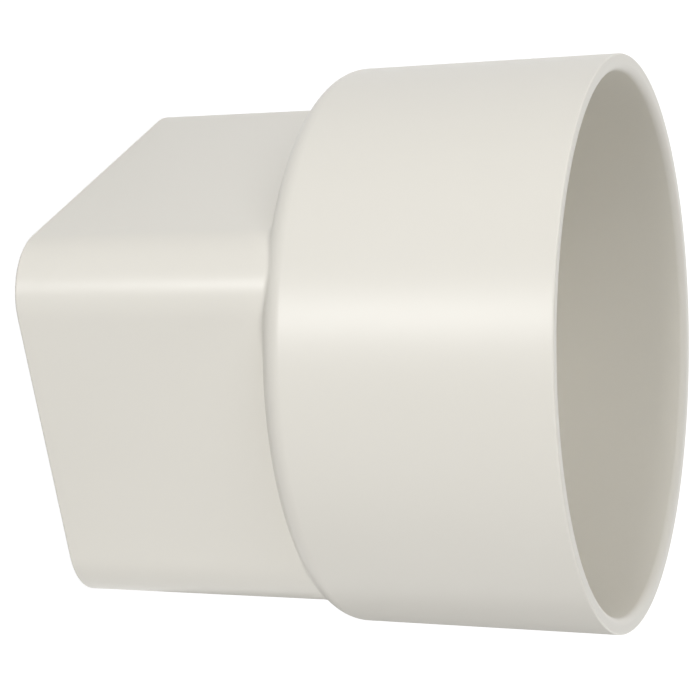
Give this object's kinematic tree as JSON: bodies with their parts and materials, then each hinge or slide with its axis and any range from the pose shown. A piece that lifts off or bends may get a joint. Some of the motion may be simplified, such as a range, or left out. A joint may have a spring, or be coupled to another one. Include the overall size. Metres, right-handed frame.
{
  "type": "downspout adapter",
  "caption": "Moulded adapter with a rectangular sleeve for a downspout, a flat shoulder and a round hub that takes a drain pipe.",
  "frame": {"origin": "centre of the sleeve's end, on the plane that the adapter stands on", "axes": "+Z along the common axis, from the sleeve's end to the hub's mouth; X along the sleeve's long side, Y along its short side"},
  "size_m": [0.1144, 0.1144, 0.1082],
  "materials": {
    "off_white_pvc": "satin moulded plastic, off-white"
  },
  "bodies": {
    "root": {"downspout_adapter": "off_white_pvc"}
  },
  "joints": []
}
